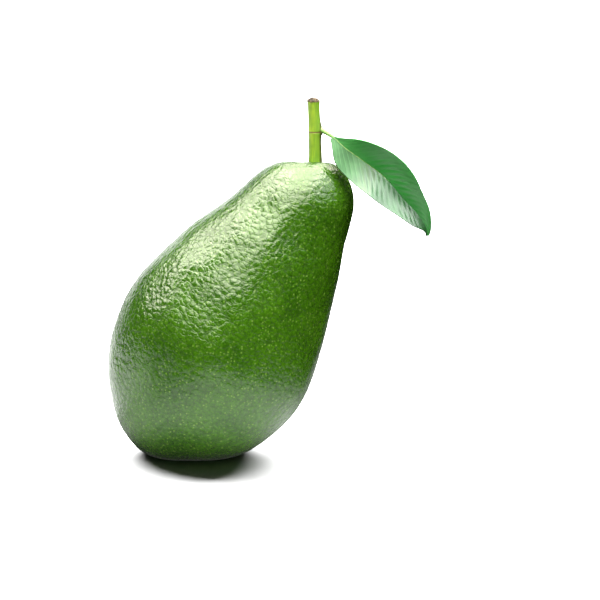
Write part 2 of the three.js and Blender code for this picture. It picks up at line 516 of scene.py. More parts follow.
@dataclass(frozen=True)
class Pebbles:
    """The skin's pebbles, as one field that its mesh and its finish both read. Sizes are in millimetres."""

    size: float = 2.1
    squeeze: float = 0.25  # how much closer they stand along the fruit's axis
    bend_size: float = 3.0
    bend: float = 3.6
    softness: float = 0.15  # how much they run into each other
    dome: Ramp = (0.2, 0.85, (0.45, 0))  # a pebble's height by the way from its middle, in cell sizes
    crease: Ramp = (0, 0.16, (0, 0.35))  # what it gains by the way from the gap beside it, in cell sizes
    grain_size: float = 0.8
    grain: Ramp = (0.25, 0.75, (0, 0.2))
    level: float = 0.6  # the height that stands on the fruit's own surface

    def height(self, graph: Graph, place: object) -> Socket:
        """Builds the field.

        Args:
            graph: The tree to build in.
            place: The place on the fruit, in millimetres.

        Returns:
            The height, 0 in the gaps to 1 on the pebbles.
        """
        along = graph.math("MULTIPLY", graph.dot(place, tuple(AXIS)), self.squeeze)
        place = graph.vector("ADD", place, graph.scaled(tuple(AXIS), along))
        bend = graph.vector("SUBTRACT", graph.noise(place, self.bend_size).outputs["Color"], (0.5, 0.5, 0.5))
        bent = graph.vector("ADD", place, graph.scaled(bend, self.bend))
        dome = graph.rise(graph.cells(bent, self.size, self.softness).outputs["Distance"], *self.dome)
        gap = graph.rise(graph.to_edge(bent, self.size), *self.crease)
        grain = graph.rise(graph.blotches(place, self.grain_size, 2), *self.grain)
        return graph.math("ADD", graph.math("ADD", dome, gap), grain)


@dataclass(frozen=True)
class SkinFinish:
    """The fruit's skin: mottled green, with painted shade in the gaps between the pebbles, pale pores and a
    waxy gloss.
    """

    deep: Color = (0.022, 0.085, 0.002)
    fresh: Color = (0.058, 0.174, 0.004)
    # painted shade for the gaps between the pebbles
    pebble_gap_shade: Color = (0.022, 0.068, 0.002)
    pore: Color = (0.19, 0.34, 0.05)
    patch_size: float = 13 * MM
    patches: Ramp = (0.3, 0.7, (0, 0.5))
    mottle_size: float = 0.85 * MM
    mottle: Ramp = (0.35, 0.68, (0, 0.6))
    pebble_gap_shading: Ramp = (0.15, 0.5, (0.55, 0))  # share of the painted shade's green by the pebbles' height, most in the gaps
    pore_spacing: float = 1.15 * MM
    pore_edge: Ramp = (0.1, 0.4, (1, 0))
    pore_strength: Ramp = (0.1, 0.9, (0.1, 0.8))
    grain_size: float = 0.5 * MM
    grain_depth: float = 0.012 * MM
    pebble_depth: float = 0.09 * MM
    roughness: Ramp = (0.2, 0.8, (0.28, 0.17))  # by the pebbles' height
    ior: float = 1.5

    def material(self, pebbles: Pebbles) -> bpy.types.Material:
        """Makes the material.

        Args:
            pebbles: The pebbles' field, which the mesh is raised by too.

        Returns:
            The finished material.
        """
        surface = Surface("avocado_skin")
        relief = pebbles.height(surface, surface.scaled(surface.place, 1 / MM))
        patches = surface.rise(surface.blotches(surface.place, self.patch_size, 3), *self.patches)
        mottle = surface.rise(surface.blotches(surface.place, self.mottle_size, 3), *self.mottle)
        green = surface.mix(surface.math("ADD", patches, mottle), self.deep, self.fresh)
        # painted shade: darker green in the gaps between the pebbles
        green = surface.mix(surface.rise(relief, *self.pebble_gap_shading), green, self.pebble_gap_shade)
        pores = surface.cells(surface.place, self.pore_spacing).outputs
        draw = surface.add("ShaderNodeSeparateColor", {0: pores["Color"]}).outputs[0]
        spot = surface.rise(pores["Distance"], *self.pore_edge)
        speck = surface.math("MULTIPLY", spot, surface.rise(draw, *self.pore_strength))
        green = surface.mix(speck, green, self.pore)
        grain = surface.bump(surface.blotches(surface.place, self.grain_size, 3), self.grain_depth)
        normal = surface.bump(relief, self.pebble_depth, grain)
        rough = surface.rise(relief, *self.roughness)
        surface.set(base_color=green, normal=normal, ior=self.ior, roughness=rough)
        return surface.material


@dataclass(frozen=True)
class StemFinish:
    """The stem: fresh yellow-green with lengthwise fibres, a brown scar at its node, a dried end, and painted
    shade down its further side.
    """

    fresh: Color = (0.47, 0.68, 0.045)
    # a deeper green for the fibres and patches, and for the painted shade on the further side
    shade: Color = (0.18, 0.38, 0.02)
    scar: Color = (0.2, 0.1, 0.025)
    brown: Color = (0.06, 0.05, 0.015)
    dried: Color = (0.022, 0.011, 0.005)
    pith: Color = (0.13, 0.085, 0.03)
    fibre_size: float = 0.35 * MM
    fibre_draw: float = 0.06  # how much longer than wide they are, as the shrinking of Z
    fibre_depth: float = 0.05 * MM
    fibres: Ramp = (0.35, 0.7, (0, 0.7))
    patch_size: float = 4 * MM
    patches: Ramp = (0.4, 0.75, (0, 0.5))
    painted_side_shade: Ramp = (-0.6 * MM, 1.2 * MM, (0, 0.7))  # painted shade, by the way to its further side
    # browner at the further edge: partly real browning, partly painted shade
    browning_and_edge_shade: Ramp = (1.5 * MM, 2.1 * MM, (0, 0.85))
    scarred: Ramp = (0.1 * MM, 0.4 * MM, (0.85, 0))  # by the way from the node
    ragged_size: float = 0.9 * MM  # of the dried end's blotches, and how far they move its edge
    piths: Pair = (0.5, 0.62)
    dried_edge: float = 0.35 * MM
    roughness: Pair = (0.42, 0.9)  # fresh and dried

    def material(self, middle: float, node_height: float, end_height: float) -> bpy.types.Material:
        """Makes the material.

        Args:
            middle: Where the stem's middle line stands along X. Its further side is painted darker as shade,
                and browner at its edge, partly real browning and partly painted shade.
            node_height: The height of the node's scar.
            end_height: The height where the dried end starts.

        Returns:
            The finished material.
        """
        surface = Surface("green_stem")
        parts = surface.add("ShaderNodeSeparateXYZ", {0: surface.place}).outputs
        drawn = surface.vector("MULTIPLY", surface.place, (1, 1, self.fibre_draw))
        fibres = surface.blotches(drawn, self.fibre_size, 3)
        patches = surface.blotches(surface.place, self.patch_size, 2)
        # the way to its further side, which gets painted shade
        side = surface.math("SUBTRACT", parts["X"], middle)
        off_node = surface.math("ABSOLUTE", surface.math("SUBTRACT", parts["Z"], node_height))
        green = self.fresh
        for value, ramp, color in (
            (fibres, self.fibres, self.shade),
            (patches, self.patches, self.shade),
            # painted shade down the further side, browner at its edge
            (side, self.painted_side_shade, self.shade),
            (side, self.browning_and_edge_shade, self.brown),
            (off_node, self.scarred, self.scar),
        ):
            green = surface.mix(surface.rise(value, *ramp), green, color)
        ragged = surface.blotches(surface.place, self.ragged_size, 3)
        edge = surface.math("ADD", parts["Z"], surface.math("MULTIPLY", ragged, self.ragged_size))
        dried = surface.mix(surface.rise(ragged, *self.piths), self.dried, self.pith)
        dry = (edge, end_height, end_height + self.dried_edge)
        surface.set(base_color=surface.mix(surface.rise(*dry), green, dried))
        surface.set(roughness=surface.rise(*dry, self.roughness))
        surface.set(normal=surface.bump(fibres, self.fibre_depth))
        return surface.material


@dataclass(frozen=True)
class BladeFinish:
    """One face of the leaf's blade, with veins that follow its own map and a green for each half, which on the
    face is painted light.
    """

    name: str
    # on the face, painted light: the upper half's green is brighter, for light shining through the leaf, and
    # the lower half's darker
    upper: Color
    lower: Color
    vein: Color
    roughness: float
    vein_strength: float
    vein_edge: Pair = (0.03, 0.13)  # where a vein starts to fade and ends, in spacings
    vein_fade: Ramp = (0.7, 1.0, (1, 0.1))  # by the way out to the blade's edge
    halves: Pair = (0.49, 0.51)  # where the lower half's green turns to the upper half's; on the face this split is painted light
    patch_size: float = 7 * MM
    patches: Ramp = (0.35, 0.8, (0, 0.2))
    grain_size: float = 0.35 * MM
    grain_depth: float = 0.012 * MM
    dull_base: Pair = (0.1, 0.4)  # shares of its length between which it gets its gloss
    dullness: float = 0.8  # roughness of its base

    def material(self, veins: float, advance: float) -> bpy.types.Material:
        """Makes the material.

        Args:
            veins: How many side veins a half has.
            advance: How far a side vein leans towards the tip, as a share of the blade's length.

        Returns:
            The finished material.
        """
        surface = Surface(self.name)
        share, across = surface.across()
        out = surface.math("ABSOLUTE", surface.math("SUBTRACT", surface.math("MULTIPLY", across, 2.0), 1.0))
        start = surface.math("SUBTRACT", share, surface.math("MULTIPLY", out, advance))
        phase = surface.math("FRACT", surface.math("MULTIPLY", start, veins))
        off_vein = surface.math("ABSOLUTE", surface.math("SUBTRACT", phase, 0.5))
        line = surface.rise(off_vein, *self.vein_edge, (self.vein_strength, 0))
        line = surface.math("MULTIPLY", line, surface.rise(out, *self.vein_fade))
        patches = surface.blotches(surface.place, self.patch_size, 3)
        # painted light on the face: each half its own green, the upper brighter than the lower
        green = surface.mix(surface.rise(across, *self.halves), self.lower, self.upper)
        green = surface.mix(surface.rise(patches, *self.patches), green, self.vein)
        green = surface.mix(line, green, self.vein)
        waxy = surface.rise(share, *self.dull_base, (self.dullness, self.roughness))
        grain = surface.bump(surface.blotches(surface.place, self.grain_size, 2), self.grain_depth)
        surface.set(base_color=green, roughness=waxy, normal=grain)
        return surface.material


@dataclass(frozen=True)
class RibFinish:
    """The leaf's stalk and midrib: pale yellow-green, faintly fibrous."""

    pale: Color = (0.3, 0.52, 0.12)
    green: Color = (0.14, 0.36, 0.06)
    blotch_size: float = 1.6 * MM
    blotches: Pair = (0.35, 0.7)
    depth: float = 0.05 * MM
    roughness: float = 0.42

    def material(self) -> bpy.types.Material:
        """Makes the material.

        Returns:
            The finished material.
        """
        surface = Surface("leaf_rib")
        blotches = surface.blotches(surface.place, self.blotch_size, 3)
        green = surface.mix(surface.rise(blotches, *self.blotches), self.pale, self.green)
        surface.set(base_color=green, roughness=self.roughness, normal=surface.bump(blotches, self.depth))
        return surface.material


@dataclass(frozen=True)
class GlowPatch:
    """A round patch of the floor that gives light, but hardly any next to the object."""

    middle: Place
    reach: Pair  # where it starts to fade, and where it ends
    clear: Pair  # how far from the object it starts to give light, and where it gives all
    radiance: float
    least: float = 0.04  # the share of its light that it gives next to the object

    def light(self, surface: Surface) -> Socket:
        """Adds the patch's light to the floor's finish.

        Args:
            surface: The floor's finish.

        Returns:
            The light that the patch gives at each place.
        """
        patch = surface.rise(surface.off(surface.place, self.middle), *self.reach, (self.radiance, 0))
        clear = surface.rise(surface.off(surface.place, (0, 0, 0)), *self.clear, (self.least, 1))
        return surface.math("MULTIPLY", patch, clear)


@dataclass(frozen=True)
class FloorFinish:
    """A plain white table top. Only its part behind and its part just before the object light the object."""

    pale: Color = (0.3, 0.3, 0.3)  # under its strong light it looks pure white
    behind: GlowPatch = GlowPatch((-0.3, 0.22, 0), (0.3, 0.44), (0.036, 0.066), 2.3)
    near: GlowPatch = GlowPatch((0.01, -0.05, 0), (0.03, 0.12), (0.02, 0.046), 2.2)
    roughness: float = 0.7

    def material(self) -> bpy.types.Material:
        """Makes the material.

        Returns:
            The finished material.
        """
        surface = Surface("pale_floor")
        light = surface.math("MAXIMUM", self.behind.light(surface), self.near.light(surface))
        seen = surface.add("ShaderNodeLightPath").outputs["Is Camera Ray"]
        given = surface.math("MULTIPLY", light, surface.math("SUBTRACT", 1.0, seen))
        surface.set(base_color=surface.mix(seen, (0.0, 0.0, 0.0), self.pale), emission_strength=given)
        surface.set(emission_color=opaque(WHITE), roughness=self.roughness, specular_ior_level=0.0)
        return surface.material


# Pieces


@dataclass
class Skin:
    """The fruit's skin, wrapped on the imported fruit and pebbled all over."""

    length: float = 118 * MM
    girth: float = 70 * MM
    cuts: int = 127  # of each side of the cube that the ball is made from
    even_out: float = 0.25  # how much closer the ball's points stand at its waist
    clearance: float = 12 * MM  # of the ball that is wrapped on the fruit
    socket_radius: float = 3.4 * MM
    socket_depth: float = 1.0 * MM  # above the pit's floor that still belongs to the socket
    fairing: int = 60  # rounds of blurring that take the coarse pebbles off
    pit_blur: Ramp = (5.4 * MM, 9 * MM, (0.02, 1))  # the blur's weight by the way from the pit
    pebble_heights: Ramp = (0.75, 1.0, (0.17 * MM, 0.1 * MM))  # by the share of the fruit's length
    swell_size: float = 22
    swells: Ramp = (0.2, 0.8, (-0.12 * MM, 0.12 * MM))
    pebbles: Pebbles = Pebbles()
    finish: SkinFinish = SkinFinish()

    def build(self, pit: Vector) -> Object:
        """Builds the skin.

        Args:
            pit: The floor of the pit that the stem stands in.

        Returns:
            The finished piece.
        """
        target = self._target(pit)
        skin = self._ball(target)
        finish_with(
            skin, "SHRINKWRAP", target=target, wrap_method="PROJECT", use_negative_direction=True,
            use_positive_direction=False,
        )
        bpy.data.objects.remove(target)
        self._fair(skin, pit)
        self._pebble(skin)
        self._cut_flat(skin)
        activate(skin)
        bpy.ops.object.shade_smooth()
        self._crease_flat(skin)
        hand_over(skin, Slot.SKIN, [self.finish.material(self.pebbles)], Node.FRUIT)
        return skin

    def _target(self, pit: Vector) -> Object:
        """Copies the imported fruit, merged and with the stem's socket closed.

        Args:
            pit: The floor of the pit.

        Returns:
            The copy.
        """
        activate(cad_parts[Node.FRUIT.value])
        bpy.ops.object.duplicate()
        target = bpy.context.object
        target.name = "skin_target"
        with editing(target, everything=True):
            bpy.ops.mesh.remove_doubles(threshold=WELD)
            bpy.ops.mesh.select_all(action="DESELECT")
            select(target, Element.FACE, lambda middle: self._in_socket(middle - pit))
            bpy.ops.mesh.delete(type="FACE")
            bpy.ops.mesh.select_all(action="SELECT")
            bpy.ops.mesh.fill_holes(sides=0)
        return target

    def _in_socket(self, off: Vector) -> bool:
        """Says whether a place, from the pit's floor, is on the wall or the floor of the stem's socket."""
        return off.xy.length < self.socket_radius and -3 * self.socket_depth < off.z < self.socket_depth

    def _ball(self, target: Object) -> Object:
        """Makes a smooth long ball of even squares round the fruit, leaning as it leans.

        Args:
            target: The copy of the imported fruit.

        Returns:
            The ball.
        """
        corners = [Vector(corner) for corner in target.bound_box]
        middle = (corners[0] + corners[6]) / 2
        across = self.girth / 2 + self.clearance
        along = self.length / 2 + self.clearance
        bpy.ops.object.select_all(action="DESELECT")
        bpy.ops.mesh.primitive_cube_add(size=2)
        ball = take_primitive("skin")
        with editing(ball, everything=True):
            bpy.ops.mesh.subdivide(number_cuts=self.cuts)
        for vertex in ball.data.vertices:
            way = Vector([math.tan(math.pi / 4 * part) for part in vertex.co]).normalized()
            height = way.z * (1 - self.even_out * (1 - way.z**2))
            around = way.xy.normalized() * math.sqrt(1 - height**2) if way.xy.length > 0 else way.xy
            vertex.co = (around.x * across, around.y * across, height * along)
        ball.matrix_world = Matrix.Translation(middle) @ Matrix.Rotation(LEAN, 4, "Y")
        return take_primitive("skin")

    def _modify(self, skin: Object, name: str, shape: Shape) -> None:
        """Moves the skin's vertices by a geometry graph, and applies it.

        Args:
            skin: The skin.
            name: The graph's name.
            shape: Takes the graph and the vertices' position, and returns where they go.
        """
        tree = bpy.data.node_groups.new(name, "GeometryNodeTree")
        tree.interface.new_socket("Mesh", in_out="INPUT", socket_type="NodeSocketGeometry")
        tree.interface.new_socket("Mesh", in_out="OUTPUT", socket_type="NodeSocketGeometry")
        graph = Graph(tree)
        mesh = graph.add("NodeGroupInput").outputs[0]
        position = graph.add("GeometryNodeInputPosition").outputs[0]
        moved = graph.add("GeometryNodeSetPosition", {"Geometry": mesh, "Position": shape(graph, position)})
        graph.add("NodeGroupOutput", {0: moved.outputs[0]})
        finish_with(skin, "NODES", node_group=tree)

    def _fair(self, skin: Object, pit: Vector) -> None:
        """Blurs the coarse pebbles away but not the pit, and gives back the girth that a blur takes.

        Args:
            skin: The skin.
            pit: The floor of the pit.
        """

        def shape(graph: Graph, position: object) -> object:
            """Blurs the place, and adds the slow part of what the blur took.

            Args:
                graph: The graph to build in.
                position: The place of a vertex.

            Returns:
                Where it goes.
            """
            weight = graph.rise(graph.off(position, tuple(pit)), *self.pit_blur)
            blurred = graph.blur(position, self.fairing, weight)
            slow = graph.blur(graph.vector("SUBTRACT", position, blurred), self.fairing, weight)
            return graph.vector("ADD", blurred, slow)

        self._modify(skin, "fair", shape)

    def _pebble(self, skin: Object) -> None:
        """Raises the pebbles and the slow swells.

        Args:
            skin: The skin.
        """

        def shape(graph: Graph, position: object) -> object:
            """Raises the place along the normal.

            Args:
                graph: The graph to build in.
                position: The place of a vertex.

            Returns:
                Where it goes.
            """
            place = graph.scaled(position, 1 / MM)
            relief = graph.math("SUBTRACT", self.pebbles.height(graph, place), self.pebbles.level)
            along = graph.math("DIVIDE", graph.dot(position, tuple(AXIS)), self.length)
            raised = graph.math("MULTIPLY", relief, graph.rise(along, *self.pebble_heights))
            slow = graph.rise(graph.blotches(place, self.swell_size, 1), *self.swells)
            lift = graph.math("ADD", raised, slow)
            normal = graph.add("GeometryNodeInputNormal").outputs[0]
            return graph.vector("ADD", position, graph.scaled(normal, lift))

        self._modify(skin, "pebbles", shape)

    def _cut_flat(self, skin: Object) -> None:
        """Cuts the flat spot level with the floor, and closes it.

        Args:
            skin: The skin.
        """
        with editing(skin, everything=True):
            bpy.ops.mesh.bisect(
                plane_co=(0, 0, 0), plane_no=(0, 0, -1), clear_outer=True, use_fill=True, threshold=WELD,
            )

    def _crease_flat(self, skin: Object) -> None:
        """Keeps the flat spot's rim sharp.

        Args:
            skin: The skin.
        """
        with editing(skin):
            select(skin, Element.FACE, lambda middle: middle.z < WELD)
            bpy.ops.mesh.faces_shade_flat()
            bpy.ops.mesh.region_to_loop()
            bpy.ops.mesh.mark_sharp()


@dataclass
class Stem:
    """The stem: a flared foot in the pit, a node with the leaf's cushion half way up, and a dried cut end."""

    height: float = 24.9 * MM  # of its middle line, above the pit's floor
    foot_radius: float = 2.9 * MM
    sides: int = 24
    rings: tuple[Pair, ...] = (
        (-1.6, 2.3), (-0.6, 2.8), (0.5, 2.95), (1.4, 2.55), (2.6, 2.34), (5, 2.26), (8.4, 2.2), (11, 2.16),
        (12, 2.24), (12.4, 2.29), (12.55, 2.15), (12.7, 2.15), (12.85, 2.29), (13.6, 2.18), (16, 2.08),
        (19.5, 2.04), (21.7, 2.04), (22.6, 2.2), (23.1, 2.24), (23.5, 2.06),
    )  # [height, radius] in millimetres
    line: tuple[Place, ...] = (
        (0, -0.35, -1.6), (0, 0, 0), (0.1, 0.3, 2.5), (-0.1, 0.45, 11), (-0.35, 0.5, 18), (-0.65, 0.5, 24.9),
    )  # its middle, in millimetres from the pit's floor
    end_rings: tuple[Pair, ...] = ((0.32, 0.18), (0.4, 0.3), (0.5, 0.25))  # [inset, rise] in mm
    end_lean: float = -0.05 * MM  # how far each of them goes along X
    node_height: float = 12.62 * MM
    middle: float = -0.25 * MM  # of its middle line, from the pit along X
    dried_length: float = 0.3 * MM
    cushion_out: float = 1.9  # of the cushion's middle from the pit along X, in millimetres
    cushion_radius: float = 0.9 * MM
    cushion_pulls: tuple[tuple[float, float, Place], ...] = (
        (14.6, 4.6, (0.9, -0.15, 0)), (13.5, 1.7, (0.75, -0.35, -0.15)),
    )  # [height, reach, pull] in millimetres
    lump_size: float = 0.9 * MM  # of the dried end
    lump_height: float = 0.7 * MM
    lumps: Pair = (-1 * MM, 0.2 * MM)  # where they start and are full, from the last ring
    finish: StemFinish = StemFinish()

    def pit(self) -> Vector:
        """Returns the floor of the pit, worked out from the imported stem."""
        low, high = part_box(Node.STEM.value)
        return Vector((low.x + self.foot_radius, high.y - self.foot_radius, high.z - self.height))

    def build(self) -> Object:
        """Builds the stem, ring by ring up its middle line.

        Returns:
            The finished piece.
        """
        pit = self.pit()
        line = Line([pit + Vector(point) * MM for point in self.line])
        bottom, top = self.rings[0][0], self.line[-1][2]
        places = [line.at((height - bottom) / (top - bottom)) for height, _ in self.rings]
        bpy.ops.object.select_all(action="DESELECT")
        bpy.ops.mesh.primitive_circle_add(
            vertices=self.sides, radius=self.rings[0][1] * MM, fill_type="NGON", location=places[0],
        )
        stem = take_primitive("stem_wood")
        with editing(stem, everything=True):
            for (_, before), (_, radius), here, there in zip(self.rings, self.rings[1:], places, places[1:]):
                bpy.ops.mesh.extrude_region_move(TRANSFORM_OT_translate={"value": there - here})
                bpy.ops.transform.resize(value=(radius / before, radius / before, 1), center_override=there)
            self._round_end()
            self._pull_cushion(stem, pit)
            bpy.ops.mesh.select_all(action="SELECT")
            bpy.ops.mesh.normals_make_consistent(inside=False)
        finish_with(stem, "SUBSURF", levels=2, render_levels=2)
        self._roughen_end(stem, places[-1].z)
        activate(stem)
        bpy.ops.object.shade_smooth()
        heights = (pit.z + self.node_height, places[-1].z - self.dried_length)
        hand_over(stem, Slot.STEM, [self.finish.material(pit.x + self.middle, *heights)], Node.STEM)
        return stem

    def _round_end(self) -> None:
        """Closes the selected last ring as a low shrunken dome."""
        for inset, rise in self.end_rings:
            bpy.ops.mesh.inset(thickness=inset * MM, depth=0)
            bpy.ops.transform.translate(value=(self.end_lean, 0, rise * MM))

    def _pull_cushion(self, stem: Object, pit: Vector) -> None:
        """Pulls the leaf's cushion out of the stem's side, above the node.

        Args:
            stem: The stem, open in edit mode.
            pit: The floor of the pit.
        """
        for height, reach, pull in self.cushion_pulls:
            bpy.ops.mesh.select_all(action="DESELECT")
            spot = pit + Vector((self.cushion_out, 0, height)) * MM
            select(stem, Element.VERTEX, lambda place: (place - spot).length < self.cushion_radius)
            bpy.ops.transform.translate(
                value=Vector(pull) * MM, use_proportional_edit=True, proportional_edit_falloff="SMOOTH",
                proportional_size=reach * MM,
            )

    def _roughen_end(self, stem: Object, height: float) -> None:
        """Roughens the dried end.

        Args:
            stem: The stem.
            height: The height of its last ring.
        """
        texture = bpy.data.textures.new("dried_end", "CLOUDS")
        texture.noise_scale = self.lump_size
        texture.noise_depth = 2
        group = stem.vertex_groups.new(name="end")
        for vertex in stem.data.vertices:
            group.add([vertex.index], smoothstep(*self.lumps, vertex.co.z - height), "REPLACE")
        finish_with(
            stem, "DISPLACE", texture=texture, texture_coords="LOCAL", strength=self.lump_height,
            mid_level=0.5, vertex_group=group.name,
        )
        stem.vertex_groups.clear()


@dataclass
class Leaf:
    """The leaf: a thin blade folded along its midrib, and the stalk and rib that carry it."""

    stalk: tuple[Place, ...] = ((1.3, 0.25, 13.7), (2.3, -0.35, 13.25), (3.85, -1.6, 12.5))
    midrib: tuple[Place, ...] = (
        (6, -3.4, 11.3), (10.3, -5.4, 7.7), (15.8, -6.5, 3.9), (23.3, -7.2, -1.7), (30.2, -7.3, -9.6),
        (34.5, -7, -14.4), (37.6, -6.2, -19.4), (38.1, -5.8, -22),
    )  # both in millimetres from the pit's floor
    blade_from: float = 0.112  # share of the line that is bare stalk
    upper_widths: tuple[float, ...] = (0.3, 5.3, 8.3, 9.3, 9.1, 7.2, 4.3, 0.6)
    lower_widths: tuple[float, ...] = (1.7, 7.4, 9.3, 9.6, 8.8, 6.4, 4.5, 0.6)
    upper_fold: float = math.radians(25)
    lower_fold: float = math.radians(38)
    base_fold: float = 0.3  # how much further forward the lower half is at its base, as a share of its width
    base_reach: Pair = (0.04, 0.22)  # shares of the blade between which that ends
    cup: float = 0.7 * MM
    wave: float = 0.35 * MM
    waves: int = 3
    wave_shift: float = 2.0  # of the lower half's waves, in radians
    thickness: float = 0.36 * MM
    rows: int = 230
    columns: int = 78
    veins: float = 19
    vein_advance: float = 0.17
    quilting: float = 0.09 * MM
    quilt_drift: Place = (0.3, 11, 2.3)  # how much it varies, its pace and its shift
    quilt_edges: Pair = (0.12, 0.8)  # shares of the half's width between which it is full
    smooth_angle: float = math.radians(50)
    rib_steps: int = 90
    stalk_radius: float = 0.78 * MM
    stalk_flare: float = 0.35 * MM  # how much thicker it is at the stem
    flare_share: float = 0.06  # of the line
    rib_start: Pair = (-0.06, 0.04)  # where the stalk turns to rib, from the blade's start
    rib_radii: Pair = (0.5 * MM, 0.22 * MM)  # where the blade starts, and at its tip
    rib_sink: float = 0.16 * MM
    # painted light: the face's upper half is a brighter green, for light shining through the leaf, and its
    # lower half darker
    face: BladeFinish = BladeFinish(
        "leaf_face", upper=(0.035, 0.33, 0.04), lower=(0.008, 0.075, 0.012), vein=(0.16, 0.5, 0.16),
        roughness=0.3, vein_strength=0.16,
    )
    underside: BladeFinish = BladeFinish(
        "leaf_underside", upper=(0.06, 0.18, 0.05), lower=(0.05, 0.16, 0.045), vein=(0.2, 0.36, 0.12),
        roughness=0.55, vein_strength=0.35,
    )
    rib: RibFinish = RibFinish()

    def build(self, pit: Vector) -> list[Object]:
        """Builds the leaf.

        Args:
            pit: The floor of the pit, which the leaf's line is measured from.

        Returns:
            The blade and the rib.
        """
        line = Line([pit + Vector(point) * MM for point in (*self.stalk, *self.midrib)])
        return [self._blade(line), self._rib(line)]

    def _surface(self, line: Line, share: float, across: float) -> Vector:
        """Finds a point of the blade's middle surface.

        Args:
            line: The stalk and midrib.
            share: The way along the blade, 0 to 1.
            across: The way across it, -1 at the lower edge to 1 at the upper edge.

        Returns:
            The point.
        """
        side = Side.UPPER if across > 0 else Side.LOWER
        place = self.blade_from + (1 - self.blade_from) * share
        up = line.along(place).cross(BACK).normalized()
        out = abs(across)
        upper = side is Side.UPPER
        fold = self.upper_fold if upper else self.lower_fold
        width = spline_value(self.upper_widths if upper else self.lower_widths, share) * MM * out
        deeper = 0 if upper else width * self.base_fold * (1 - smoothstep(*self.base_reach, share))
        cup = self.cup * math.sin(math.pi * out) * math.sin(math.pi * share)
        turn = 2 * math.pi * self.waves * share + (0 if upper else self.wave_shift)
        depth = cup + self.wave * out * out * math.sin(turn) - width * math.sin(fold) - deeper
        return line.at(place) + up * (side.value * width * math.cos(fold)) + BACK * depth

    def _facing(self, line: Line, share: float, across: float) -> Vector:
        """Finds the way that the blade's face looks.

        Args:
            line: The stalk and midrib.
            share: The way along the blade, 0 to 1.
            across: The way across it, -1 to 1.

        Returns:
            The way, of length 1.
        """
        step = 0.01
        upper = self._surface(line, share, min(1, across + step))
        lower = self._surface(line, share, max(-1, across - step))
        further = self._surface(line, min(1, share + step), across)
        nearer = self._surface(line, max(0, share - step), across)
        return (further - nearer).cross(upper - lower).normalized()

    def _quilt(self, share: float, across: float) -> float:
        """Finds how high the blade swells between its side veins.

        Args:
            share: The way along the blade, 0 to 1.
            across: The way across it, -1 to 1.

        Returns:
            The height, in metres.
        """
        out = abs(across)
        start = share - self.vein_advance * out
        swell = 0.5 - 0.5 * math.cos(2 * math.pi * (self.veins * start - 0.5))
        amount, pace, shift = self.quilt_drift
        drift = 1 - amount + amount * math.sin(pace * share + shift * math.copysign(1, across))
        inner, outer = self.quilt_edges
        return self.quilting * swell * drift * smoothstep(0, inner, out) * (1 - smoothstep(outer, 1, out))

    def _blade(self, line: Line) -> Object:
        """Shapes the blade from a flat grid.

        Args:
            line: The stalk and midrib.

        Returns:
            The blade.
        """
        bpy.ops.object.select_all(action="DESELECT")
        bpy.ops.mesh.primitive_grid_add(x_subdivisions=self.rows, y_subdivisions=self.columns, size=1)
        blade = take_primitive("leaf_blade")
        for vertex in blade.data.vertices:
            share, across = vertex.co.x + 0.5, 2 * vertex.co.y
            lift = self._facing(line, share, across) * self._quilt(share, across)
            vertex.co = self._surface(line, share, across) + lift
        finish_with(
            blade, "SOLIDIFY", thickness=self.thickness, offset=0, use_even_offset=False, material_offset=1,
            material_offset_rim=2,
        )
        with editing(blade, everything=True):
            bpy.ops.mesh.normals_make_consistent(inside=False)
        activate(blade)
        bpy.ops.object.shade_smooth_by_angle(angle=self.smooth_angle)
        sides = [finish.material(self.veins, self.vein_advance) for finish in (self.face, self.underside)]
        hand_over(blade, Slot.LEAF, [*sides, self.rib.material()], Node.LEAF)
        return blade

    def _rib(self, line: Line) -> Object:
        """Makes the stalk and the midrib as one tapered round rib, sunk behind the blade's face.

        Args:
            line: The stalk and midrib.

        Returns:
            The rib.
        """
        curve = bpy.data.curves.new("leaf_rib", "CURVE")
        curve.dimensions = "3D"
        curve.bevel_depth = 1.0
        curve.bevel_resolution = 4
        curve.use_fill_caps = True
        spline = curve.splines.new("POLY")
        spline.points.add(self.rib_steps)
        for i, point in enumerate(spline.points):
            share = i / self.rib_steps
            on_blade = max(0.0, (share - self.blade_from) / (1 - self.blade_from))
            start = smoothstep(*self.rib_start, share - self.blade_from)
            rib = self.rib_radii[0] + (self.rib_radii[1] - self.rib_radii[0]) * on_blade
            place = line.at(share) + BACK * (self.rib_sink * start)
            point.co = (*place, 1)
            foot = self.stalk_flare * (1 - smoothstep(0, self.flare_share, share))
            point.radius = self.stalk_radius + foot + (rib - self.stalk_radius) * start
        obj = bpy.data.objects.new("leaf_rib", curve)
        bpy.context.scene.collection.objects.link(obj)
        activate(obj)
        bpy.ops.object.convert(target="MESH")
        rib = bpy.context.object
        activate(rib)
        bpy.ops.object.shade_smooth()
        hand_over(rib, Slot.LEAF, [self.rib.material()])
        return rib


# Studio


class Reach(Enum):
    """What a light brings out."""

    GLOSS = "gloss"
    COLOR = "colours"


@dataclass(frozen=True)
class SoftLight:
    """A square or oblong soft light that looks at the fruit."""

    name: str
    towards: Place
    size: Pair
    radiance: float
    reach: Reach
    tint: Color = WHITE
    leaf_only: bool = False
    distance: float = 0.6

    def place(self, target: Vector, lit: bpy.types.Collection) -> None:
        """Adds the light.

        Args:
            target: The point that it looks at.
            lit: What it shines on.
        """
        data = bpy.data.lights.new(self.name, "AREA")
        data.shape = "RECTANGLE"
        data.size, data.size_y = self.size
        data.energy = self.radiance * math.pi * self.size[0] * self.size[1]
        data.color = self.tint
        way = Vector(self.towards).normalized()
        lamp = add_object(self.name, data, way)
        lamp.location = target + way * self.distance
        lamp.visible_camera = False
        lamp.visible_diffuse = self.reach is not Reach.GLOSS
        lamp.visible_glossy = self.reach is Reach.GLOSS
        lamp.light_linking.receiver_collection = lit


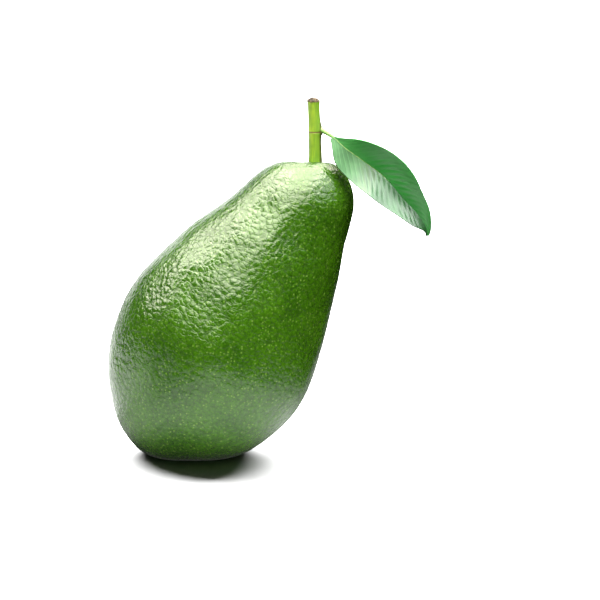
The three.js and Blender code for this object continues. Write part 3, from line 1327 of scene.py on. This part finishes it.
@dataclass
class Studio:
    """The pale floor, the soft lights, the white surroundings and the camera."""

    floor_size: float = 8.0
    camera_height: float = math.radians(10)  # above level
    camera_distance: float = 1.5
    frame_width: float = 204 * MM  # what the picture shows at the fruit
    frame_middle: Pair = (36.5 * MM, 53.1 * MM)  # the picture's middle, X and Z at the fruit
    shadow_light_from: Place = (0.02, 0.72, 0.69)
    shadow_light_power: float = 70.0  # watts a square metre
    shadow_light_angle: float = math.radians(76)
    light_target: Place = (0.01, 0, 0.05)  # what the lights look at
    gloss_way: Place = (-0.25, 0.97, 0)  # where the surroundings are brightest in gloss
    gloss: Ramp = (0.86, 0.975, (0.02, 2.4))
    color_way: Place = (0, 0.77, 0.64)  # and where they give most light to colours
    color: Ramp = (0.3, 0.95, (0.0, 0.4))
    lights: tuple[SoftLight, ...] = (
        SoftLight("softbox", (0.1, -0.02, 1), (1.6, 0.8), 8.2, Reach.GLOSS, WARM),
        SoftLight("softbox_middle", (0.12, -0.12, 1), (0.85, 0.5), 7.5, Reach.GLOSS, WARM),
        SoftLight("softbox_left", (-0.52, 0.16, 0.84), (0.36, 0.5), 12.5, Reach.GLOSS, WARM),
        SoftLight("softbox_right", (0.68, -0.15, 0.72), (0.4, 0.4), 5, Reach.GLOSS),
        SoftLight("leaf_sheen", (0.85, -0.15, 0.55), (0.6, 0.5), 9.5, Reach.GLOSS, leaf_only=True),
        SoftLight("front_top", (0.26, -0.28, 0.92), (1.0, 0.55), 7.3, Reach.COLOR),
        SoftLight("back_top", (-0.2, 0.6, 0.75), (0.8, 0.5), 1.6, Reach.COLOR),
    )

    def build(self, pieces: Sequence[Object]) -> None:
        """Builds the studio round the object.

        Args:
            pieces: The object's pieces.
        """
        floor = self._collection("lit_floor", [self._floor()])
        self._shadow_light(floor)
        whole = self._collection("lit_object", pieces)
        leaf_pieces = [piece for piece in pieces if piece.name.startswith(Node.LEAF.value)]
        leaf = self._collection("lit_leaf", leaf_pieces)
        for light in self.lights:
            light.place(Vector(self.light_target), leaf if light.leaf_only else whole)
        self._surroundings()
        self._camera()
        bpy.context.scene.view_settings.view_transform = "Standard"

    @staticmethod
    def _collection(name: str, members: Sequence[Object]) -> bpy.types.Collection:
        """Collects some objects for a light to shine on.

        Args:
            name: The collection's name.
            members: The objects.

        Returns:
            The new collection.
        """
        collection = bpy.data.collections.new(name)
        for member in members:
            collection.objects.link(member)
        return collection

    def _floor(self) -> Object:
        """Adds the floor.

        Returns:
            The floor.
        """
        bpy.ops.object.select_all(action="DESELECT")
        bpy.ops.mesh.primitive_plane_add(size=self.floor_size)
        floor = take_primitive("floor")
        floor.data.materials.append(FloorFinish().material())
        LOG.info("floor: %.1f m wide", self.floor_size)
        return floor

    def _shadow_light(self, lit: bpy.types.Collection) -> None:
        """Adds the far broad light that whitens the floor and throws the object's shadow forward.

        Args:
            lit: The floor.
        """
        data = bpy.data.lights.new("shadow_light", "SUN")
        data.energy = self.shadow_light_power
        data.angle = self.shadow_light_angle
        lamp = add_object("shadow_light", data, Vector(self.shadow_light_from))
        lamp.light_linking.receiver_collection = lit

    def _surroundings(self) -> None:
        """Makes the surroundings white to the eye, and in gloss brighter behind the object than before it."""
        world = bpy.data.worlds.new("surroundings")
        world.use_nodes = True
        bpy.context.scene.world = world
        graph = Graph(world.node_tree)
        way = graph.add("ShaderNodeTexCoord").outputs["Generated"]
        behind = graph.rise(graph.dot(way, self.gloss_way), *self.gloss)
        above = graph.rise(graph.dot(way, self.color_way), *self.color)
        path = graph.add("ShaderNodeLightPath")
        inputs = {0: path.outputs["Is Diffuse Ray"], 2: behind, 3: above}
        unseen = graph.add("ShaderNodeMix", inputs, data_type="FLOAT").outputs[0]
        inputs = {0: path.outputs["Is Camera Ray"], 2: unseen, 3: 1.0}
        strength = graph.add("ShaderNodeMix", inputs, data_type="FLOAT").outputs[0]
        shader = graph.add("ShaderNodeBackground", {"Color": opaque(WHITE), "Strength": strength})
        graph.add("ShaderNodeOutputWorld", {"Surface": shader.outputs[0]})

    def _camera(self) -> None:
        """Adds the camera at the photo's viewing angle."""
        data = bpy.data.cameras.new("camera")
        back = Vector((0, -math.cos(self.camera_height), math.sin(self.camera_height)))
        camera = add_object("camera", data, back)
        middle = Vector((self.frame_middle[0], 0, self.frame_middle[1]))
        camera.location = middle + back * self.camera_distance
        data.lens = data.sensor_width * self.camera_distance / self.frame_width
        bpy.context.scene.camera = camera


def main() -> None:
    """Builds every piece in order, then the studio."""
    logging.basicConfig(level=logging.INFO, format="%(message)s")
    stem = Stem()
    pit = stem.pit()
    pieces = [Skin().build(pit), stem.build(), *Leaf().build(pit)]
    Studio().build(pieces)


if __name__ == "__main__":
    main()
